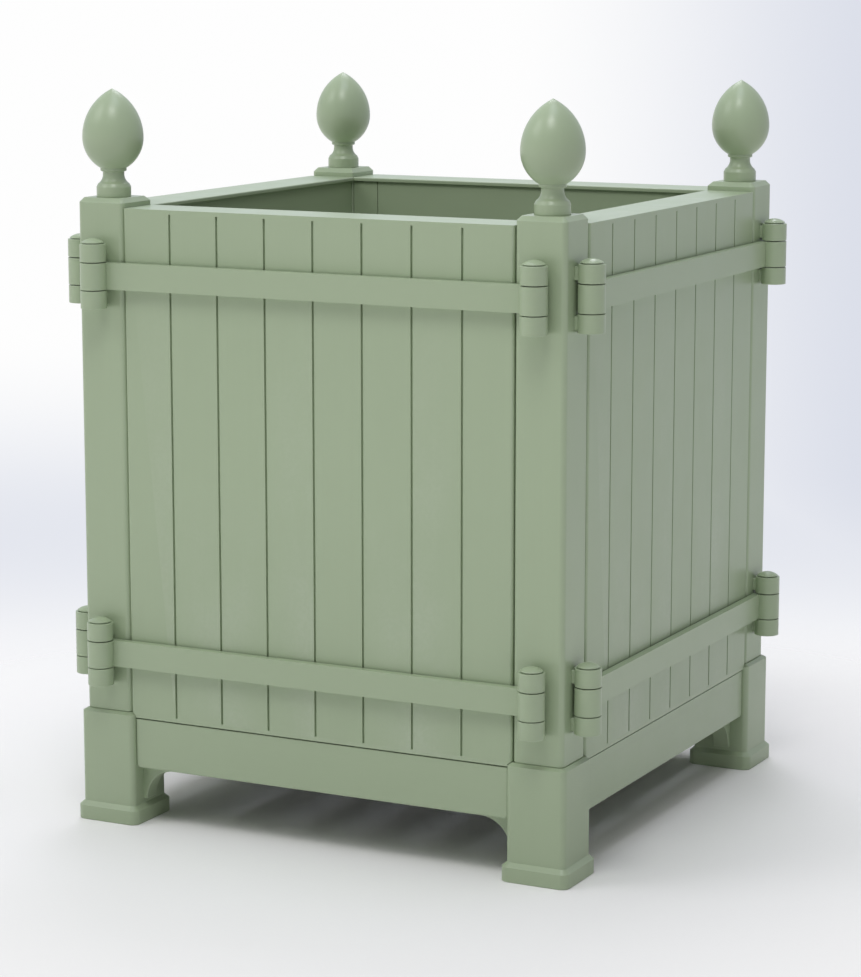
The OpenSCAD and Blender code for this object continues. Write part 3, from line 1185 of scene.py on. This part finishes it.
@dataclass
class Sides:
    """Four sides: a grooved face panel, a cap and a lining board each."""

    shop: Workshop
    boards: int = 8
    groove_w: float = 0.0022
    groove_d: float = 0.003
    groove_stop: float = 0.0045
    upright_edge: float = 0.003
    groove_edge: float = 0.0004
    end_edge: float = 0.0009
    lip_over: float = 0.003

    def face_panel(self) -> Mesh:
        """The front face panel with its row of stopped grooves."""
        plan = self.shop.plan
        wide, low = plan.side_half, plan.rail_top + plan.sill_gap
        right = [(plan.notch[0][0], low), *plan.notch, (wide, plan.cap_top)]
        outline = right + mirrored(right)
        front, back = -plan.half, -plan.half + plan.panel_t
        board = Shape().prism(outline, "Y", front, back)
        board.ease(self.upright_edge, 5,
                   lambda mid: abs(mid.x) > wide - NEAR and mid.y < front + NEAR)
        pitch = 2 * wide / self.boards
        length = plan.cap_top - low - 2 * self.groove_stop
        shape = self.shop.patterned(
            self.shop.patterns.grooves, board.true_up(), Coat.UPRIGHT, count=self.boards - 1,
            first=(-wide + pitch, front, (low + plan.cap_top) / 2), step=(pitch, 0.0, 0.0),
            cutter=(self.groove_w, 2 * self.groove_d, length))
        shape.ease(self.groove_edge, 2, lambda mid: (
            abs(mid.x) < wide - 0.004 and mid.y < front + NEAR
            and low + 0.001 < mid.z < plan.cap_top - 0.001))
        shape.ease(self.end_edge, 3, lambda mid: mid.y < front + NEAR and (
            mid.z > plan.cap_top - NEAR or mid.z < plan.notch[1][1] + NEAR))
        return settled(shape, "face_panel")

    def cap(self) -> Mesh:
        """The front cap: thick behind the panel, a mitred lip over the lining."""
        plan = self.shop.plan
        back = -plan.half + plan.panel_t
        step = -plan.half + plan.side_t - plan.lining_t
        lip = -plan.half + plan.side_t + self.lip_over
        top, low = plan.cap_top, plan.cap_top - plan.cap_t
        under = top - plan.lip_t
        outline = eased([
            (back, top, 0.0), (lip, top, 0.0011), (lip, under, 0.0006),
            (step, under, 0.0), (step, low, 0.0), (back, low, 0.0),
        ])
        shape = Shape().prism(outline, "X", -plan.side_half, plan.side_half)
        for sign in (-1, 1):
            cut = bmesh.ops.bisect_plane(
                shape.bm, geom=[*shape.bm.verts, *shape.bm.edges, *shape.bm.faces],
                plane_co=(sign * (-lip - 0.0002), lip, 0), plane_no=(sign, 1, 0), clear_outer=True)
            rim = [edge for edge in cut["geom_cut"] if isinstance(edge, BMEdge)]
            bmesh.ops.contextual_create(shape.bm, geom=rim)
        return settled(shape, "cap")

    def lining(self) -> Mesh:
        """The front lining board, from the left end of the side to its right stile."""
        plan = self.shop.plan
        inner = -plan.half + plan.side_t
        right = plan.side_half - plan.stile_w - plan.joint
        low, top = plan.rail_top, plan.inner_top
        left = mirrored([(plan.notch[0][0], low), *plan.notch, (plan.side_half, top)])
        outline = [(right, low), (right, top), *left]
        shape = Shape().prism(outline, "Y", inner - plan.lining_t, inner)
        shape.ease(0.0007, 2,
                   lambda mid: mid.y > inner - NEAR and abs(mid.x - right) < NEAR)
        return settled(shape, "lining")

    def build(self) -> None:
        """Makes and fits the sides."""
        self.shop.fit_round(Side, Slot.TIMBER, {
            "face_panel_{}": (self.face_panel(), "boards", Coat.UPRIGHT),
            "cap_{}": (self.cap(), "board", None),
            "lining_{}": (self.lining(), "board", None),
        })


@dataclass
class Hinges:
    """Eight bars with their eyes, thirty-two knuckles and sixteen pins."""

    shop: Workshop
    bar_h: float = 0.0272
    bar_t: float = 0.0084
    bar_gap: float = 0.001
    barrel_r: float = 0.0133
    bore_r: float = 0.0053
    knuckle_h: float = 0.0182
    knuckle_gap: float = 0.001
    shank_w: float = 0.015
    shank_h: float = 0.0132
    shank_in: float = 0.016
    pin_r: float = 0.005
    pin_l: float = 0.062
    pin_tip: float = 0.0015
    head_r: float = 0.0112
    head_h: float = 0.0054
    neck_r: float = 0.0095
    neck_h: float = 0.0009
    rim_h: float = 0.0007
    arris: float = 0.0006
    facets: int = 60
    pin_facets: int = 48

    @property
    def axis_y(self) -> float:
        """Y of the hinge axes of the front bars."""
        return -self.shop.plan.half - self.bar_gap - self.barrel_r

    @property
    def reach(self) -> float:
        """Height from the middle of a bar to the top of its upper knuckle."""
        return self.bar_h / 2 + self.knuckle_gap + self.knuckle_h

    def bar(self, level: Level) -> Mesh:
        """A front bar: one flat bar whose ends are rolled into eyes."""
        post, axis = self.shop.plan.post_c, self.axis_y
        meet = math.degrees(math.asin((self.barrel_r - self.bar_t) / self.barrel_r))
        free = arc((0, 0), 1.0, 90, 360 + meet, 48)
        held = arc((0, 0), 1.0, meet, 90, 12)
        circle = free + held[1:-1]
        flat = len(free) - 1
        shape = Shape()
        bm = shape.bm
        low, high = level.value - self.bar_h / 2, level.value + self.bar_h / 2
        rings: dict[tuple[int, float], list[list[BMVert]]] = {}

        def strip(first: list[BMVert], second: list[BMVert], count: int) -> None:
            """Joins two rings by faces, all round or as far as the flat bar."""
            for k in range(count):
                n = (k + 1) % len(first)
                bm.faces.new((first[k], first[n], second[n], second[k]))

        for sign in (-1, 1):
            for z in (low, high):
                rings[sign, z] = [
                    [bm.verts.new((sign * (post - r * x), axis + r * y, z)) for x, y in circle]
                    for r in (self.barrel_r, self.bore_r)]
                strip(*rings[sign, z], len(circle))
            for way, count in enumerate((flat, len(circle))):
                strip(rings[sign, low][way], rings[sign, high][way], count)
        for z in (low, high):
            left, right = rings[-1, z][0], rings[1, z][0]
            bm.faces.new(left[flat:] + [left[0], right[0]] + right[:flat - 1:-1])
        corners = [rings[place][0] for place in ((-1, low), (1, low), (1, high), (-1, high))]
        for k in (0, flat):
            bm.faces.new([ring[k] for ring in corners])
        bore = self.bore_r + NEAR
        shape.ease(self.arris, 3,
                   lambda mid: math.hypot(abs(mid.x) - post, mid.y - axis) > bore)
        return settled(shape, "bar")

    def knuckle(self) -> Shape:
        """A knuckle with its shank, its hinge axis in front of the front left post."""
        half = self.knuckle_h / 2
        ring = eased([
            (self.bore_r, -half, 0.0003), (self.barrel_r, -half, self.arris),
            (self.barrel_r, half, self.arris), (self.bore_r, half, 0.0003),
        ])
        offset = self.axis_y + self.shop.plan.post_c
        barrel = self.shop.turned_work(ring + ring[:1], self.facets, (0.0, offset), Coat.STEEL)
        w, h = self.shank_w / 2, self.shank_h / 2
        back = offset + self.barrel_r
        outline = eased([(x, z, self.arris) for x, z in ((-w, -h), (w, -h), (w, h), (-w, h))])
        shank = Shape().prism(outline, "Y", back - 0.003, back + self.bar_gap + self.shank_in)
        return barrel.add(shank.true_up())

    def knuckles(self) -> Mesh:
        """The eight knuckles of the front left post."""
        post = -self.shop.plan.post_c
        stack = self.shop.patterned(
            self.shop.patterns.stack, self.knuckle().true_up(), Coat.STEEL,
            pair_gap=self.bar_h + 2 * self.knuckle_gap + self.knuckle_h,
            lower_level=Level.LOWER.value, level_gap=Level.UPPER.value - Level.LOWER.value,
            post=(post, post, 0.0))
        return settled(stack, "knuckles")

    def pin(self, end: End, level: Level) -> Mesh:
        """A front pin with a domed head over a narrower neck, resting on the upper knuckle."""
        seat = level.value + self.reach
        low, neck = seat - self.pin_l, seat + self.neck_h
        rim = neck + self.rim_h
        rise = self.head_h - self.neck_h - self.rim_h
        dome_r = (self.head_r ** 2 + rise ** 2) / (2 * rise)
        dome_z = rim + rise - dome_r
        dome = arc((0.0, dome_z), dome_r, math.degrees(math.asin((rim - dome_z) / dome_r)), 90, 16)
        profile = [(0.0, low), (self.pin_r - self.pin_tip, low), (self.pin_r, low + self.pin_tip),
                   (self.pin_r, seat), (self.neck_r, seat)]
        profile += eased([
            (self.neck_r, neck, 0.0), (self.head_r, neck, 0.0002),
            (self.head_r, rim, 0.0003), (*dome[1], 0.0),
        ], closed=False)[:-1]
        profile += dome[1:-1] + [(0.0, rim + rise)]
        axis = (end.value * self.shop.plan.post_c, self.axis_y)
        return settled(self.shop.turned_work(profile, self.pin_facets, axis, Coat.STEEL), "pin")

    def build(self) -> None:
        """Makes and fits the bars, knuckles and pins."""
        fit_round = self.shop.fit_round
        for level in Level:
            height = level.name.lower()
            bars = {f"bar_{{}}_{height}": (self.bar(level), "strap", Coat.STEEL)}
            fit_round(Side, Slot.STEEL, bars)
            for end in End:
                node = f"pin_{{}}_{end.name.lower()}_{height}"
                pins = {node: (self.pin(end, level), "rod", Coat.STEEL)}
                fit_round(Side, Slot.STEEL, pins, moves=True)
        knuckles = {"knuckles_{}": (self.knuckles(), "barrels", Coat.STEEL)}
        fit_round(Corner, Slot.STEEL, knuckles)


@dataclass
class Floor:
    """Slatted floor boards; the bearers and end stiles keep their solids and get paint."""

    shop: Workshop
    boards: int = 6
    gap: float = 0.006
    thick: float = 0.016
    top: float = 0.106
    clear: float = 0.0005
    edge: float = 0.0012
    kept: tuple[tuple[str, Coat], ...] = (
        ("floor_bearers", Coat.PRIMED_X), ("end_stiles", Coat.UPRIGHT))

    def floor_boards(self) -> Mesh:
        """The floor boards in a row, with gaps that let water through."""
        span = 2 * (self.shop.plan.foot_in - self.clear)
        width = (span - (self.boards - 1) * self.gap) / self.boards
        low = self.top - self.thick
        outline = [(0.0, low), (width, low), (width, self.top), (0.0, self.top)]
        board = Shape().prism(outline, "Y", -span / 2, span / 2).ease(self.edge, 3)
        row = self.shop.patterned(
            self.shop.patterns.row, board, Coat.PRIMED_Y, count=self.boards,
            first=(-span / 2, 0.0, 0.0), step=(width + self.gap, 0.0, 0.0))
        return settled(row, "floor_boards")

    def build(self) -> None:
        """Makes and fits the floor, and paints the solids that stay."""
        self.shop.fit(self.floor_boards(), "floor_board_row", Slot.TIMBER, "floor_boards",
                      Coat.PRIMED_Y)
        for node, coat in self.kept:
            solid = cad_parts[node]
            solid.data.materials.clear()
            solid.data.materials.append(self.shop.paint[coat])
            LOG.info("%s keeps its solid", node)


# ---- studio ----


@dataclass(frozen=True)
class Lamp:
    """A soft lamp: where it hangs, what it points at and how strong it is."""

    name: str
    place: Triple
    size: float
    power: float
    colour: Triple = (1.0, 1.0, 1.0)
    target: Triple = (0.0, 0.0, 0.35)

    def build(self) -> None:
        """Adds the lamp to the scene."""
        light = bpy.data.lights.new(self.name, "AREA")
        light.shape = "DISK"
        light.size = self.size
        light.energy = self.power
        light.color = self.colour
        lamp = placed(self.name, light)
        lamp.location = self.place
        way = Vector(self.target) - Vector(self.place)
        lamp.rotation_euler = way.to_track_quat("-Z", "Y").to_euler()


@dataclass(frozen=True)
class Glow:
    """Soft light from one side of the surroundings, strongest along its direction."""

    way: Triple
    strength: float

    def build(self, graph: Graph, way: NodeSocket) -> NodeSocket:
        """Adds the glow for a direction of sight."""
        near = graph.math("MAXIMUM", graph.measure("DOT_PRODUCT", way, self.way), 0.0)
        return graph.times(near, near, self.strength)


@dataclass(frozen=True)
class Backdrop:
    """What shows behind the planter: white paper, and a pale blue shade on it.

    Each span holds two heights of the line of sight, or for side how far it
    turns to the right, between which one tone passes into the next.
    """

    right: Triple = (0.893, 0.451, 0.0)
    side: Span = (0.019, 0.162)
    side_depth: float = 0.95
    horizon: Span = (-0.211, -0.12)
    shade_foot: Span = (-0.251, -0.164)
    shade: Colour = (0.68, 0.71, 0.8, 1.0)
    paper_foot: Span = (-0.28, -0.23)
    paper_low: Colour = (0.9, 0.9, 0.9, 1.0)
    paper: Colour = (0.99, 0.99, 0.99, 1.0)
    sky_foot: Span = (0.0, 0.13)
    sky: Colour = (0.68, 0.73, 0.8, 1.0)

    def build(self, graph: Graph, way: NodeSocket, height: NodeSocket) -> NodeSocket:
        """The backdrop's colour for a direction of sight.

        Args:
            graph: The world's graph.
            way: The direction.
            height: Its height.

        Returns:
            The colour.
        """
        to_right = graph.measure("DOT_PRODUCT", way, self.right)
        side = graph.ramp(to_right, *self.side, 0.0, self.side_depth)
        shaded = graph.math("MAXIMUM", side, graph.ramp(height, *self.horizon, 1.0, 0.0))
        white = graph.mix(graph.ramp(height, *self.paper_foot), self.paper_low, self.paper)
        white = graph.mix(graph.ramp(height, *self.sky_foot), white, self.sky)
        depth = graph.times(shaded, graph.ramp(height, *self.shade_foot))
        return graph.mix(depth, white, self.shade)


@dataclass
class Studio:
    """Floor, backdrop colours, lamps and camera."""

    camera_place: Triple = (1.42671, -2.83874, 0.88896)
    camera_turn: Triple = (80.0, 0.0, 26.813)
    focal_px: float = 3013.34
    image_w: int = 861
    floor_colour: Colour = (0.97, 0.965, 0.97, 1.0)
    floor_size: float = 3.2
    # where the floor starts to fade for the camera and for light, and over what width
    fade_seen: float = 0.32
    fade_lit: float = 0.9
    fade_run: float = 0.72
    paper_scale: float = 260.0
    paper_shade: float = 0.99
    # light from the floor beyond, as heights of the line of sight
    far_floor: float = 1.07
    far_start: Span = (-0.5, -0.3)
    far_end: Span = (0.0, 0.06)
    backdrop: Backdrop = Backdrop()
    glows: tuple[Glow, ...] = (
        Glow((0.0, 0.0, 1.0), 0.76),
        Glow((-0.893, -0.451, 0.0), 0.34),
    )
    lamps: tuple[Lamp, ...] = (
        Lamp("upper_left", (-2.07, -1.92, 2.89), 1.8, 18.3),
        Lamp("upper_front", (0.46, -1.53, 3.12), 1.2, 22.9),
        Lamp("overhead", (0.25, -0.15, 3.33), 1.4, 12.5, (0.78, 0.84, 1.0)),
        Lamp("upper_back", (-0.82, 1.77, 3.14), 1.8, 33.0, (0.92, 0.9, 1.0)),
    )

    def camera(self) -> None:
        """Adds the camera at the photograph's place."""
        data = bpy.data.cameras.new("camera")
        data.sensor_fit = "HORIZONTAL"
        data.sensor_width = 36.0
        data.lens = self.focal_px * data.sensor_width / self.image_w
        data.clip_end = 60.0
        camera = placed("camera", data)
        camera.location = self.camera_place
        camera.rotation_euler = [math.radians(a) for a in self.camera_turn]
        bpy.context.scene.camera = camera

    def world(self) -> None:
        """Lights softly from all round, and shows a white backdrop with a pale blue shade."""
        world = bpy.data.worlds.new("studio")
        bpy.context.scene.world = world
        graph = fresh(world)
        way = graph.node("ShaderNodeTexCoord").outputs["Generated"]
        height = graph.node("ShaderNodeSeparateXYZ", {0: way}).outputs["Z"]
        starts = graph.ramp(height, *self.far_start)
        ends = graph.ramp(height, *self.far_end, 1.0, 0.0)
        far = graph.times(starts, ends, self.far_floor)
        strength = graph.plus(far, *(glow.build(graph, way) for glow in self.glows))
        light = graph.node("ShaderNodeBackground", {
            "Color": (1.0, 1.0, 1.0, 1.0), "Strength": strength}).outputs[0]
        colour = self.backdrop.build(graph, way, height)
        behind = graph.node("ShaderNodeBackground", {"Color": colour, "Strength": 1.0}).outputs[0]
        both = graph.node("ShaderNodeMixShader", {0: graph.seen(), 1: light, 2: behind})
        graph.node("ShaderNodeOutputWorld", {"Surface": both.outputs[0]})

    def floor(self) -> None:
        """Adds a round pale floor that fades into the backdrop."""
        bm = bmesh.new()
        bmesh.ops.create_circle(bm, cap_ends=True, radius=self.floor_size, segments=96)
        mesh = bpy.data.meshes.new("studio_floor")
        bm.to_mesh(mesh)
        bm.free()
        material = bpy.data.materials.new("pale_floor")
        graph = fresh(material)
        place = graph.node("ShaderNodeTexCoord").outputs["Object"]
        start = graph.ramp(graph.seen(), 0.0, 1.0, self.fade_lit, self.fade_seen)
        fade = graph.ramp(graph.measure("LENGTH", place), start, graph.plus(start, self.fade_run))
        darker = (*(c * self.paper_shade for c in self.floor_colour[:3]), 1.0)
        fibre = graph.ramp(graph.noise(place, self.paper_scale), 0.2, 0.8)
        tone = graph.mix(fibre, self.floor_colour, darker)
        solid = graph.node("ShaderNodeBsdfDiffuse", {"Color": tone}).outputs[0]
        clear = graph.node("ShaderNodeBsdfTransparent").outputs[0]
        both = graph.node("ShaderNodeMixShader", {0: fade, 1: solid, 2: clear})
        graph.node("ShaderNodeOutputMaterial", {"Surface": both.outputs[0]})
        mesh.materials.append(material)
        floor = placed("studio_floor", mesh)

    def build(self) -> None:
        """Sets up the studio."""
        bpy.context.scene.view_settings.view_transform = "Standard"
        self.camera()
        self.world()
        self.floor()
        for lamp in self.lamps:
            lamp.build()
        LOG.info("studio: %d lamps", len(self.lamps))


def main() -> None:
    """Builds the planter and its studio."""
    logging.basicConfig(level=logging.INFO, format="%(name)s: %(message)s")
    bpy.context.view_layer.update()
    shop = Workshop(Plan(), PaintShop(), Patterns())
    for part in (Stand, CornerPosts, Finials, Sides, Hinges, Floor):
        part(shop).build()
    Studio().build()


if __name__ == "__main__":
    main()
